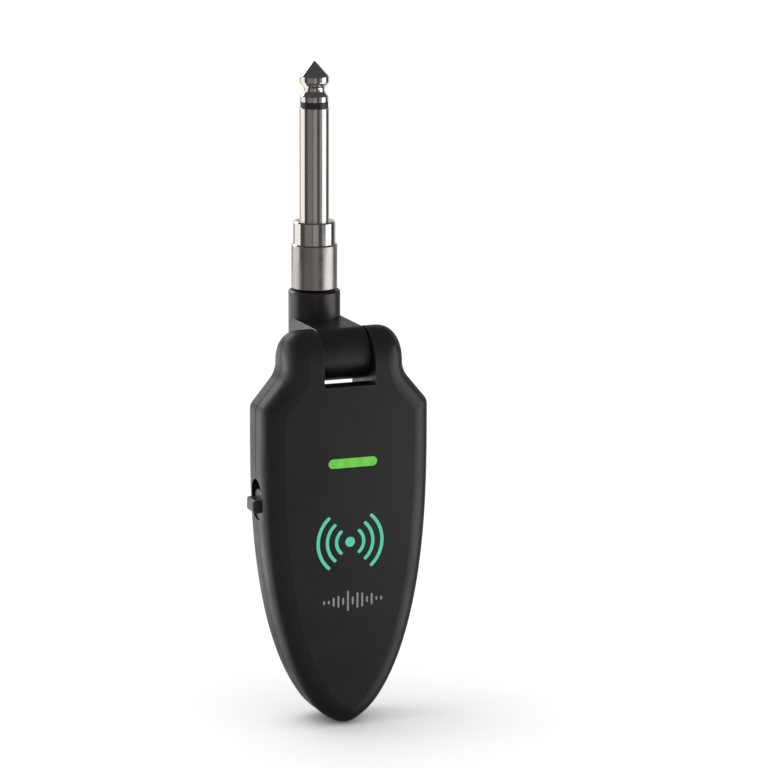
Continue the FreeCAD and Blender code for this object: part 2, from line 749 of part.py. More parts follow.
def make_shell(name, front):
    """Half of the clamshell, split on the middle plane; its sketches share one local origin."""
    body = new_body(name, (0, MID_Y, EAR_TOP))
    outward = -1 if front else 1
    half_depth = dim("body_depth") / 2

    outline = new_sketch(body, "XZ_Plane", name + "_outline")
    add_curves(outline, outline_curves(1)[1:] + outline_curves(-1)[1:] + [
        Part.LineSegment(outline_curves(-1)[0].EndPoint, outline_curves(1)[0].EndPoint)])
    add_feature(body, "Pad", name + "_slab", outline, "dims.body_depth / 2", reverse=not front)

    # the ear tops are half round when seen from the side
    crown = new_sketch(body, "YZ_Plane", name + "_crown")
    top = VECTOR(0, 0, 0)
    spring = VECTOR(outward * half_depth, -half_depth, 0)
    far_side = outward * (half_depth + PAST)
    diagonal = math.sqrt(0.5) * half_depth
    add_curves(crown, [
        Part.Arc(top, VECTOR(outward * diagonal, diagonal - half_depth, 0), spring),
        Part.LineSegment(spring, VECTOR(far_side, -half_depth, 0)),
        Part.LineSegment(VECTOR(far_side, -half_depth, 0), VECTOR(far_side, PAST, 0)),
        Part.LineSegment(VECTOR(far_side, PAST, 0), VECTOR(0, PAST, 0)),
        Part.LineSegment(VECTOR(0, PAST, 0), top),
    ])
    add_feature(body, "Pocket", name + "_crown_cut", crown, "2 * dims.body_width", symmetric=True)

    ear_side = dim("neck_width") / 2

    def rim_edge(edge):
        ends = [vertex.Point for vertex in edge.Vertexes]
        on_face = all(abs(point.y - outward * half_depth) < TOUCH for point in ends)
        crown_line = all(abs(point.z + half_depth) < TOUCH for point in ends)
        on_ear_side = all(abs(abs(point.x) - ear_side) < TOUCH for point in ends)
        about_x = isinstance(edge.Curve, Part.Circle) and abs(edge.Curve.Axis.x) > 1 - TOUCH
        return (on_face and not crown_line) or (on_ear_side and about_x)

    round_edges(body, name + "_rim_round", rim_edge, "dims.rim_round")

    def seam_edge(edge):
        middle = edge.valueAt((edge.FirstParameter + edge.LastParameter) / 2)
        return abs(middle.y) < TOUCH and middle.z < -TOUCH

    round_edges(body, name + "_seam_bevel", seam_edge, "dims.seam_bevel", "Chamfer")

    # gap between the ears: a flat lip in front, then a floor that slopes down to the rear
    notch = new_sketch(body, "YZ_Plane", name + "_notch")
    lip = "(dims.lip_below - dims.barrel_radius)"
    floor_offset = "((dims.barrel_radius + dims.swing_gap) * sqrt(2))"
    rear = "(dims.body_depth / 2 + %s)" % PAST
    add_polygon(notch, [
        ("-" + rear, "-dims.barrel_radius - " + lip),
        (HINGE_BEHIND_MID + " - %s + %s" % (floor_offset, lip), "-dims.barrel_radius - " + lip),
        (rear, "-dims.barrel_radius - %s - %s + %s" % (floor_offset, rear, HINGE_BEHIND_MID)),
        (rear, str(PAST)),
        ("-" + rear, str(PAST)),
    ])
    add_feature(body, "Pocket", name + "_notch_cut", notch, "dims.window_width", symmetric=True)

    cavity = new_sketch(body, "XZ_Plane", name + "_cavity")
    numbers = (dim("side_wall"), dim("side_pocket_top"), dim("cavity_top"), dim("side_pocket_edge"))
    right_curves = cavity_curves(1, *numbers)
    left_curves = cavity_curves(-1, *numbers)
    add_curves(cavity, right_curves[1:] + left_curves[1:] + [
        Part.LineSegment(left_curves[0].EndPoint, right_curves[0].EndPoint)])
    add_feature(body, "Pocket", name + "_cavity_cut", cavity, "dims.body_depth / 2 - dims.wall",
                reverse=front)

    port = new_sketch(body, "XZ_Plane", name + "_port")
    port_room = dim("port_clearance")
    port_end = dim("port_recess") + dim("port_depth")
    add_curves(port, port_rectangle(dim("port_width") + 2 * port_room, -PAST, port_end + port_room))
    add_feature(body, "Pocket", name + "_port_cut", port, "dims.port_height / 2 + dims.port_clearance",
                reverse=front)

    slot = new_sketch(body, "YZ_Plane", name + "_slot", "-dims.slot_inner")
    add_curves(slot, stadium(0, -dim("slot_below"), dim("slot_length"), dim("slot_width")))
    add_feature(body, "Pocket", name + "_slot_cut", slot, "dims.body_width / 2")

    bore = new_sketch(body, "YZ_Plane", name + "_bore")
    add_circle(bore, HINGE_BEHIND_MID, "-dims.barrel_radius", "dims.bush_radius")
    add_feature(body, "Pocket", name + "_bore_cut", bore, "2 * dims.ear_bore_end", symmetric=True)
    if not front:
        mouth = new_sketch(body, "YZ_Plane", name + "_bore_mouth")
        add_polygon(mouth, [
            ("-%s" % PAST, "-dims.barrel_radius - dims.bush_radius"),
            (HINGE_BEHIND_MID, "-dims.barrel_radius - dims.bush_radius"),
            (HINGE_BEHIND_MID, "-dims.barrel_radius + dims.bush_radius"),
            ("-%s" % PAST, "-dims.barrel_radius + dims.bush_radius"),
        ])
        add_feature(body, "Pocket", name + "_bore_mouth_cut", mouth, "2 * dims.ear_bore_end",
                    symmetric=True)

    # way for the signal lead from the left ear's bore down to the inside
    lead_slot = new_sketch(body, "XZ_Plane", name + "_lead_slot")
    add_polygon(lead_slot, [
        ("-dims.lead_slot_outer", "-dims.side_pocket_top - %s" % PAST),
        ("-dims.lead_slot_inner", "-dims.side_pocket_top - %s" % PAST),
        ("-dims.lead_slot_inner", "-dims.barrel_radius + dims.lead_radius + dims.lead_slot_room"),
        ("-dims.lead_slot_outer", "-dims.barrel_radius + dims.lead_radius + dims.lead_slot_room"),
    ])
    add_feature(body, "Pocket", name + "_lead_slot_cut", lead_slot, "dims.lead_slot_depth", reverse=front)

    # screws enter from the rear shell and bite into the front shell
    for side in (-1, 1):
        tag = name + ("_left" if side < 0 else "_right")
        screw = new_sketch(body, "XZ_Plane", tag + "_screw_hole")
        hole_radius = "dims.screw_radius" if front else "dims.screw_radius + dims.screw_play"
        add_circle(screw, "%d * dims.screw_across" % side, "-dims.screw_below", hole_radius)
        depth = "dims.screw_length - dims.screw_seat" if front else None
        add_feature(body, "Pocket", tag + "_screw_cut", screw, depth, reverse=front)
        if not front:
            seat = new_sketch(body, "XZ_Plane", tag + "_screw_seat", "-dims.screw_seat")
            add_circle(seat, "%d * dims.screw_across" % side, "-dims.screw_below",
                       "dims.screw_hole_radius")
            add_feature(body, "Pocket", tag + "_seat_cut", seat)

    if front:
        posts = new_sketch(body, "XZ_Plane", name + "_posts", "dims.board_back + dims.board_thickness")
        add_circle(posts, "dims.post_across", "-dims.post_below", "dims.post_radius")
        add_circle(posts, "-dims.post_across", "-dims.post_below", "dims.post_radius")
        add_circle(posts, "0", "-dims.post_low_below", "dims.post_radius")
        add_feature(body, "Pad", name + "_post_pad", posts,
                    "dims.body_depth / 2 - dims.wall / 2 - dims.board_back - dims.board_thickness")
        lens = new_sketch(body, "XZ_Plane", name + "_lens")
        add_curves(lens, pill(dim("light_across"), -dim("light_below"), dim("light_length"),
                              dim("light_height")))
        add_feature(body, "Pocket", name + "_lens_cut", lens, reverse=True)
    return body


# ---- Pieces seen in the housing's openings ----

def make_light_bar():
    """Lens flush with the front face, with a flange behind the wall and a rib to the lamps."""
    body = new_body("light_bar", (0, MID_Y, EAR_TOP))
    place = (dim("light_across"), -dim("light_below"))
    flange_edge = 2 * dim("light_flange")
    lens = new_sketch(body, "XZ_Plane", "lens_outline", "dims.body_depth / 2 - dims.wall")
    add_curves(lens, pill(*place, dim("light_length"), dim("light_height")))
    add_feature(body, "Pad", "lens", lens, "dims.wall")
    flange = new_sketch(body, "XZ_Plane", "lens_flange_outline", "dims.body_depth / 2 - dims.wall")
    add_curves(flange, pill(*place, dim("light_length") + flange_edge, dim("light_height") + flange_edge))
    add_feature(body, "Pad", "lens_flange", flange, "dims.light_flange_thickness", reverse=True)
    keep(body, "light_bar")


def make_slider():
    """Switch button: a flange behind the wall, a body in the slot, a thumb ridge and a stem."""
    body = new_body("switch_slider", (0, MID_Y, EAR_TOP))
    middle = SLIDER_BELOW
    flange = new_sketch(body, "YZ_Plane", "slider_flange_outline",
                        "-dims.slider_flange_face + dims.slider_flange_thickness")
    half_wide = "dims.slider_flange_width / 2"
    half_tall = "dims.slider_flange_length / 2"
    add_polygon(flange, [
        ("-" + half_wide, "-%s - %s" % (middle, half_tall)),
        (half_wide, "-%s - %s" % (middle, half_tall)),
        (half_wide, "-%s + %s" % (middle, half_tall)),
        ("-" + half_wide, "-%s + %s" % (middle, half_tall)),
    ])
    add_feature(body, "Pad", "slider_flange", flange, "dims.slider_flange_thickness", reverse=True)
    below = dim("slot_below") + (dim("slot_length") - dim("slider_length")) / 2 - dim("slider_rest_gap")
    width = dim("slot_width") - 2 * dim("slider_gap")
    plate = new_sketch(body, "YZ_Plane", "slider_plate_outline", "-dims.slider_flange_face")
    add_curves(plate, stadium(0, -below, dim("slider_length"), width))
    add_feature(body, "Pad", "slider_plate", plate, "dims.slider_face - dims.slider_flange_face",
                reverse=True)
    ridge = new_sketch(body, "YZ_Plane", "ridge_outline", "-dims.slider_face")
    add_polygon(ridge, [
        ("-dims.ridge_width / 2", "-%s - dims.ridge_height / 2" % middle),
        ("dims.ridge_width / 2", "-%s - dims.ridge_height / 2" % middle),
        ("dims.ridge_width / 2", "-%s + dims.ridge_height / 2" % middle),
        ("-dims.ridge_width / 2", "-%s + dims.ridge_height / 2" % middle),
    ])
    add_feature(body, "Pad", "ridge", ridge, "dims.ridge_face - dims.slider_face", reverse=True)

    def ridge_rim(edge):
        return all(abs(vertex.Point.x + dim("ridge_face")) < TOUCH for vertex in edge.Vertexes)

    round_edges(body, "ridge_round", ridge_rim, "dims.ridge_round")
    stem = new_sketch(body, "YZ_Plane", "slider_stem_outline", "-dims.slider_stem_reach")
    add_polygon(stem, [
        ("-dims.slider_stem / 2", "-%s - dims.slider_stem / 2" % middle),
        ("dims.slider_stem / 2", "-%s - dims.slider_stem / 2" % middle),
        ("dims.slider_stem / 2", "-%s + dims.slider_stem / 2" % middle),
        ("-dims.slider_stem / 2", "-%s + dims.slider_stem / 2" % middle),
    ])
    add_feature(body, "Pad", "slider_stem", stem,
                "dims.slider_flange_face - dims.slider_flange_thickness - dims.slider_stem_reach",
                reverse=True)
    keep(body, "switch_slider")


def make_port():
    """Charging port: a metal shell square to the shoulder, with its contact tongue inside."""
    body = new_body("port_shell", (0, MID_Y, EAR_TOP))
    outside = new_sketch(body, "XZ_Plane", "port_outline")
    mouth = dim("port_recess")
    add_curves(outside, port_rectangle(dim("port_width"), mouth, mouth + dim("port_depth")))
    add_feature(body, "Pad", "port_block", outside, "dims.port_height", symmetric=True)
    skin = dim("port_skin")
    inside = new_sketch(body, "XZ_Plane", "port_hollow_outline")
    hollow_depth = dim("port_depth") - skin
    add_curves(inside, port_rectangle(dim("port_width") - 2 * skin, mouth - PAST, mouth + hollow_depth))
    add_feature(body, "Pocket", "port_hollow", inside, "dims.port_height - 2 * dims.port_skin",
                symmetric=True)

    def hollow_edge(edge):
        return isinstance(edge.Curve, Part.Line) and abs(edge.Length - hollow_depth) < TOUCH

    round_edges(body, "port_hollow_round", hollow_edge, "dims.port_corner - dims.port_skin")

    def outer_edge(edge):
        return isinstance(edge.Curve, Part.Line) and abs(edge.Length - dim("port_depth")) < TOUCH

    round_edges(body, "port_round", outer_edge, "dims.port_corner")
    keep(body, "port_shell")

    tongue = new_body("port_tongue", (0, MID_Y, EAR_TOP))
    blade = new_sketch(tongue, "XZ_Plane", "tongue_outline")
    end = mouth + dim("port_depth") - skin
    add_curves(blade, port_rectangle(dim("port_tongue_width"), end - dim("port_tongue_reach"), end))
    add_feature(tongue, "Pad", "tongue_blade", blade, "dims.port_tongue_height", symmetric=True)
    root = new_sketch(tongue, "XZ_Plane", "tongue_root_outline")
    add_curves(root, port_rectangle(dim("port_root_width"), end - dim("port_root_depth"), end))
    add_feature(tongue, "Pad", "tongue_root", root, "dims.port_root_height", symmetric=True)
    keep(tongue, "port_tongue")


def make_screws():
    """Two self-tapping screws with cross slots in their flat heads, seated in the rear shell."""
    pair = []
    for side in (-1, 1):
        tag = "_left" if side < 0 else "_right"
        place = ("%d * dims.screw_across" % side, MID_Y + " + dims.screw_seat",
                 EAR_TOP + " - dims.screw_below")
        y_axis = VECTOR(0, 1, 0)
        head = rod("screw_head" + tag, "dims.screw_head_radius", "dims.screw_head_height", place, y_axis)
        shank_place = (place[0], MID_Y + " + dims.screw_seat - dims.screw_length", place[2])
        shank = rod("screw_shank" + tag, "dims.screw_radius", "dims.screw_length", shank_place, y_axis)
        blank = fuse("screw_blank" + tag, [head, shank])
        floor = place[1] + " + dims.screw_head_height - dims.cross_depth"
        slots = []
        for wide, tall in (("cross_length", "cross_width"), ("cross_width", "cross_length")):
            corner = (place[0] + " - dims.%s / 2" % wide, floor, place[2] + " - dims.%s / 2" % tall)
            slots.append(box("screw_%s%s" % (wide, tag), "dims." + wide, "dims.cross_depth",
                             "dims." + tall, corner))
        pair.append(cut("screw" + tag, blank, fuse("screw_cross" + tag, slots)))
    keep(group("shell_screws", pair), "shell_screws")


# ---- Electronics inside ----

def inner_box(name, across="0", suffix=""):
    """A box-shaped piece at the place that its six rows of the sheet give."""
    wide = "dims.%s_wide" % name
    place = ("dims.%s_across - %s / 2 + %s" % (name, wide, across),
             MID_Y + " + dims.%s_behind" % name,
             EAR_TOP + " - dims.%s_below - dims.%s_tall" % (name, name))
    return box(name + suffix, wide, "dims.%s_deep" % name, "dims.%s_tall" % name, place)


def make_electronics():
    for name in ("battery_pad", "processor_chip", "charge_chip", "converter_chip", "crystal",
                 "chip_antenna"):
        keep(inner_box(name), name)

    cell = doc.addObject("Part::Fillet", "battery_round")
    cell.Base = inner_box("battery_cell", suffix="_block")
    doc.recompute()
    cell.Edges = [(index, dim("cell_round"), dim("cell_round"))
                  for index, edge in enumerate(cell.Base.Shape.Edges, 1)
                  if abs(edge.Vertexes[0].Point.z - edge.Vertexes[1].Point.z) > TOUCH]
    keep(cell, "battery_cell")

    lid = inner_box("shield_can", suffix="_block")
    hollow = box("shield_hollow", "dims.shield_can_wide - 2 * dims.shield_skin", "dims.shield_can_deep",
                 "dims.shield_can_tall - 2 * dims.shield_skin",
                 ("dims.shield_can_across - dims.shield_can_wide / 2 + dims.shield_skin",
                  MID_Y + " + dims.shield_can_behind + dims.shield_skin",
                  EAR_TOP + " - dims.shield_can_below - dims.shield_can_tall + dims.shield_skin"))
    keep(cut("shield_can", lid, hollow), "shield_can")

    lamps = []
    for number in range(LED_COUNT):
        offset = "%s * dims.led_spacing" % (number - (LED_COUNT - 1) / 2)
        lamps.append(inner_box("status_led", offset, "_%d" % number))
    keep(group("status_leds", lamps), "status_leds")

    frame = inner_box("switch_frame", suffix="_block")
    around = "(dims.slider_stem + 2 * dims.stem_room)"
    travel = "(dims.slot_length - dims.slider_length)"
    window = box("switch_window", "dims.slider_flange_face - dims.slider_stem_reach + dims.stem_room",
                 around, around + " + " + travel,
                 ("-dims.slider_flange_face", MID_Y + " - %s / 2" % around,
                  EAR_TOP + " - %s - %s / 2" % (SLIDER_BELOW, around)))
    keep(cut("switch_frame", frame, window), "switch_frame")


def make_board():
    """Circuit board that follows the leaf, with tabs in the shoulders that carry the port and lead."""
    body = new_body("main_board", (0, MID_Y, EAR_TOP))
    outline = new_sketch(body, "XZ_Plane", "board_outline", "dims.board_back")
    numbers = (dim("board_inset"), dim("board_tab_top"), dim("board_top"), dim("board_tab_edge"))
    right_curves = cavity_curves(1, *numbers)
    left_curves = cavity_curves(-1, *numbers)
    add_curves(outline, right_curves[1:] + left_curves[1:] + [
        Part.LineSegment(left_curves[0].EndPoint, right_curves[0].EndPoint)])
    add_feature(body, "Pad", "board", outline, "dims.board_thickness")
    notch = new_sketch(body, "XZ_Plane", "board_notch")
    reach = "(dims.slider_flange_length / 2 + dims.board_notch_margin)"
    above = "-dims.slot_below + " + reach
    under = "-dims.slot_below - " + reach
    add_polygon(notch, [
        ("-dims.body_width / 2", under),
        ("-dims.board_notch_edge", under),
        ("-dims.board_notch_edge", above),
        ("-dims.body_width / 2", above),
    ])
    add_feature(body, "Pocket", "board_notch_cut", notch, "dims.body_depth", symmetric=True)
    keep(body, "main_board")


# ---- Leads ----

def lead_shape(points, radius, largest_bend):
    """A round wire of straight runs joined by tangent arcs, as large as the runs and room allow."""
    edges = []
    radii = []
    start = points[0]
    for before, corner, after in zip(points, points[1:], points[2:]):
        way_in = (corner - before).normalize()
        way_out = (after - corner).normalize()
        turn = way_in.getAngle(way_out)
        setback = BEND_SHARE * min(before.distanceToPoint(corner), corner.distanceToPoint(after))
        setback = min(setback, largest_bend * math.tan(turn / 2))
        radii.append(setback / math.tan(turn / 2))
        first = corner - way_in * setback
        last = corner + way_out * setback
        centre_way = (way_out - way_in).normalize()
        centre = corner + centre_way * math.hypot(setback, radii[-1])
        middle = centre - centre_way * radii[-1]
        edges.append(Part.LineSegment(start, first).toShape())
        edges.append(Part.Arc(first, middle, last).toShape())
        start = last
    edges.append(Part.LineSegment(start, points[-1]).toShape())
    path = Part.Wire(edges)
    circle = Part.Circle(points[0], points[1] - points[0], radius).toShape()
    shape = path.makePipeShell([Part.Wire([circle])], True, False)
    expected = path.Length * math.pi * radius ** 2
    if abs(shape.Volume - expected) > VOLUME_SHARE * expected:
        raise RuntimeError("a lead's volume is wrong: %.3f for %.3f" % (shape.Volume, expected))
    print("lead of %.1f mm, bend radii %s" % (path.Length, [round(bend, 2) for bend in radii]))
    return shape


def make_lead(label, points, radius, largest_bend):
    piece = doc.addObject("Part::Feature", label)
    piece.Shape = lead_shape(points, radius, largest_bend)
    keep(piece, label)


def make_leads():
    """The signal lead turns on the hinge's own axis, so it is in two halves that meet there."""
    middle = VECTOR(0, dim("body_depth") / 2 - dim("hinge_back") - dim("hinge_to_front"),
                    dim("barrel_radius") - dim("hinge_drop"))
    hinge = VECTOR(0, -dim("hinge_back"), -dim("hinge_drop"))
    radius = dim("lead_radius")
    meeting = hinge - X_AXIS * dim("lead_meeting")
    stem_end = -(dim("upper_collar_height") + dim("lower_collar_height") + dim("stem_depth"))
    rod_end = VECTOR(0, 0, stem_end - 2 * dim("terminal_height"))
    bend = dim("lead_bend")
    make_lead("signal_lead_arm", [meeting, hinge, VECTOR(0, 0, hinge.z), rod_end], radius, bend)

    ear_corner = hinge - X_AXIS * dim("lead_ear_corner")
    board_face = middle.y - dim("board_back")
    pad_place = middle + VECTOR(-dim("lead_pad_across"), 0, -dim("lead_pad_below"))
    make_lead("signal_lead_housing", [
        meeting,
        ear_corner,
        VECTOR(ear_corner.x, ear_corner.y, middle.z - dim("lead_turn_below")),
        VECTOR(pad_place.x, hinge.y, pad_place.z),
        VECTOR(pad_place.x, board_face, pad_place.z),
    ], radius, bend)

    cell_top = middle.z - dim("battery_cell_below")
    cell_middle = middle.y + dim("battery_cell_behind") + dim("battery_cell_deep") / 2
    for label, across in (("battery_lead_positive", "positive_lead_across"),
                          ("battery_lead_negative", "negative_lead_across")):
        above = cell_top + dim("battery_lead_rise")
        make_lead(label, [
            VECTOR(dim(across), cell_middle, cell_top),
            VECTOR(dim(across), cell_middle, above),
            VECTOR(dim(across), board_face, above),
        ], radius, bend)


make_plug()
make_arm()
make_hinge()
keep(make_shell("front_shell", True), "front_shell")
keep(make_shell("rear_shell", False), "rear_shell")
make_light_bar()
make_slider()
make_port()
make_screws()
make_electronics()
make_board()
make_leads()


def export_subparts():
    """Checks the whole document, then writes each sub-part to its own file."""
    doc.recompute()
    broken = [item.Name for item in doc.Objects if "Invalid" in item.State or "Error" in item.State]
    broken += [piece.Label for piece in subparts if piece.Shape.isNull() or not piece.Shape.isValid()]
    if broken:
        raise RuntimeError("these objects failed: " + ", ".join(broken))
    os.makedirs("parts", exist_ok=True)
    for piece in subparts:
        piece.Shape.exportStep("parts/" + piece.Label + ".step")
        print("%-20s %9.2f mm3" % (piece.Label, piece.Shape.Volume))


export_subparts()
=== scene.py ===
import math

import bmesh
import bpy
from mathutils import Matrix, Vector


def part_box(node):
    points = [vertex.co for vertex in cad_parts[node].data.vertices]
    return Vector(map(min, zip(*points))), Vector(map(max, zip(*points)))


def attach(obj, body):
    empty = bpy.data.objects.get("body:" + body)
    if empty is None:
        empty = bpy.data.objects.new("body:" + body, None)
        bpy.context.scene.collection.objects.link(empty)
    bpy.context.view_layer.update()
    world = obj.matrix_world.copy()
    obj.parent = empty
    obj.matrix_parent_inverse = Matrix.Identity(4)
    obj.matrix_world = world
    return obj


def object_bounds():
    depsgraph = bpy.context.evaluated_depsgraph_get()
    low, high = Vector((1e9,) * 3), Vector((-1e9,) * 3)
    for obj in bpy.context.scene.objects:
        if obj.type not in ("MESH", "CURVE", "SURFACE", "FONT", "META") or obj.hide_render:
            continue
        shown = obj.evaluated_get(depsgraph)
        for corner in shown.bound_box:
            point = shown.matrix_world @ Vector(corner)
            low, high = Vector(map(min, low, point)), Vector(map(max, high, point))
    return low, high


# Looks of the wireless guitar transmitter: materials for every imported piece, the small prints
# on the housing, the port's contacts, and a white studio. Lengths are in metres, unless a
# name ends in _MM.

MM = 0.001

# ---- Camera: a long lens, turned to the object's left and tilted down ----

CAMERA_YAW = math.radians(21.54)
CAMERA_PITCH = math.radians(11.85)
CAMERA_ROLL = math.radians(0.2)
CAMERA_DISTANCE = 0.8552
CAMERA_LENS_MM = 187.5
CAMERA_SENSOR_MM = 36
CAMERA_AIM = Vector((0.0095, -0.0171, -0.0333))
CAMERA_NEAREST = 0.01
CAMERA_FARTHEST = 50

# ---- Prints: places measured down from the tops of the housing's ears ----

PRINT_THICKNESS = 0.02 * MM
ROUND_END_STEPS = 8

SYMBOL_BELOW = 45.3 * MM
SYMBOL_RADII = (3.1 * MM, 5.2 * MM, 7.3 * MM)
SYMBOL_HALF_ANGLE = math.radians(48)
SYMBOL_STROKE = 0.75 * MM
SYMBOL_DOT = 1.1 * MM

WAVE_BELOW = 58.3 * MM
WAVE_ACROSS = 0.6 * MM
WAVE_WIDTH = 13.5 * MM
WAVE_BARS = 13
WAVE_STROKE = 0.42 * MM
WAVE_HEIGHT = 4.2 * MM
WAVE_RIPPLE = 0.38
WAVE_RIPPLE_TURN = 0.8 * math.pi

# the drawing of a guitar is measured up from its tail, and its half widths from its middle
GUITAR_BELOW = 39.0 * MM
GUITAR_LEAN = math.radians(32)
GUITAR_STROKE = 0.28 * MM
GUITAR_BODY_LENGTH = 7.0 * MM
GUITAR_BODY_STEPS = 48
GUITAR_MIDDLE_UP = 7.4 * MM
# each: half width, and its middle and reach as shares of the body's length
GUITAR_LOWER_BOUT = (2.75 * MM, 0.30, 0.30)
GUITAR_UPPER_BOUT = (2.15 * MM, 0.76, 0.24)
GUITAR_WAIST = (1.75 * MM, 0.55, 0.13)
GUITAR_NECK_HALF = 0.42 * MM
GUITAR_NECK_END = 12.6 * MM
# each: half width, and height above the neck's end
GUITAR_HEAD_FOOT = (0.95 * MM, 0.5 * MM)
GUITAR_HEAD_TOP = (0.8 * MM, 2.3 * MM)
GUITAR_BRIDGE_HALF = 0.9 * MM
GUITAR_BRIDGE_UP = 1.5 * MM
GUITAR_RING_RADIUS = 0.75 * MM
GUITAR_RING_UP = 4.0 * MM

# ---- The painted shadow line round the green lens ----

LIGHT_LENGTH = 11.2 * MM
LIGHT_HEIGHT = 2.2 * MM
LIGHT_GAP_SHADOW = 0.14 * MM

# ---- The port's contacts; the port opens out of the right shoulder, along this slope ----

PORT_SLOPE = math.radians(40)
TONGUE_HALF_THICKNESS = 0.35 * MM
CONTACT_COUNT = 6
CONTACT_PITCH = 0.9 * MM
CONTACT_OUTWARD = 0.7 * MM
CONTACT_WIDTH = 0.4 * MM
CONTACT_LENGTH = 2.8 * MM
CONTACT_THICKNESS = 0.03 * MM
CONTACT_BEVEL = 0.01 * MM

# ---- Colours, linear ----

TEAL = (0.09, 0.60, 0.40)
PRINT_GREY = (0.25, 0.26, 0.26)
LIGHT_GREEN = (0.15, 0.60, 0.07)
# black of the painted shadow line round the green lens
GAP_SHADOW_BLACK = (0.001, 0.001, 0.001)
# pale grey for the edges of moulded plastic: partly rubbed wear, partly a painted edge highlight
EDGE_WEAR_AND_HIGHLIGHT = (0.06, 0.06, 0.062)
WHITE = (1, 1, 1)
CREAM = (1, 0.96, 0.92)
FLOOR_GREY = (0.92, 0.92, 0.92)

# ---- Surface detail ----

FLOW_MARKS = 14 * MM
PLASTIC_SMUDGES = 4.5 * MM
PLASTIC_GRAIN_DEPTH = 0.012 * MM
# moulded plastic is paled within this width of its edges, by this share: rubbed wear and a painted
# edge highlight
RUBBED_AND_HIGHLIGHT_WIDTH = 0.5 * MM
RUBBED_AND_HIGHLIGHT_SHARE = 0.35
PLATING_STREAKS = 1.2 * MM
PLATING_SMEARS = 3.5 * MM
TURNING_RING_DEPTH = 0.0015 * MM
STREAK_DEPTH = 0.001 * MM
BRUSHED_GRAIN = 0.25 * MM
BRUSHED_DEPTH = 0.003 * MM
TRACK_PITCH = 1.4 * MM
TRACK_HEIGHT = 0.03 * MM
INK_GRAIN = 0.35 * MM
INK_DEPTH = 0.004 * MM
LAMP_PITCH = 3 * MM
# a wave texture turns by this many radians in a length of 1 at a scale of 1
WAVE_TEXTURE_RATE = 20

# ---- Studio ----

FLOOR_RADIUS = 6.0
PAPER_FIBRE = 1.5 * MM
SUN_STRENGTH = 0.7
SUN_SPREAD = math.radians(28)
SUN_WAY = Vector((-0.3, 0.12, 0.94))
WORLD_LIGHT = 1.0
WORLD_MIRRORED = 0.075
GLOW_UNEVENNESS = 0.08
GLOW_CLOTH_SCALE = 6.0
CARD_STEP_DEGREES = 3

# a card's lower edge, its upper edge and its distance
FAR = (-0.48, 0.2, 0.5)
HIGH = (0.1, 0.34, 0.5)
NEAR = (-0.13, -0.038, 0.14)
# name, azimuths in degrees from the front face and growing to the viewer's right, brightness,
# colour and place
CARDS = (
    ("rear_left_grey", -180, -158, 0.5, WHITE, FAR),
    ("left_window", -155, -104, 1.2, CREAM, FAR),
    ("left_wall", -76, -34, 0.2, WHITE, FAR),
    ("front_cloth", -30, 1, 0.3, CREAM, FAR),
    ("front_right", 22, 43, 0.3, WHITE, FAR),
    ("right_window", 45, 86, 1.6, WHITE, FAR),
    ("rear_right_grey", 118, 180, 0.5, WHITE, FAR),
    ("rear_left_rim", -180, -152, 4.5, WHITE, HIGH),
    ("left_bounce", -172, -112, 1.35, WHITE, NEAR),
    ("right_bounce", 28, 66, 2.0, CREAM, NEAR),
)

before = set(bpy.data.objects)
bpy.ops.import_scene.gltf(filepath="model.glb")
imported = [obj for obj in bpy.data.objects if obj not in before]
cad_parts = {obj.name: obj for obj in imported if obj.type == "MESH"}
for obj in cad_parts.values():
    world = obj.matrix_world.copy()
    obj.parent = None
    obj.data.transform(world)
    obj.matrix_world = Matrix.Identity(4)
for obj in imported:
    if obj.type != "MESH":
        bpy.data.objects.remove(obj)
cad_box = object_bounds()


# ---- Materials ----

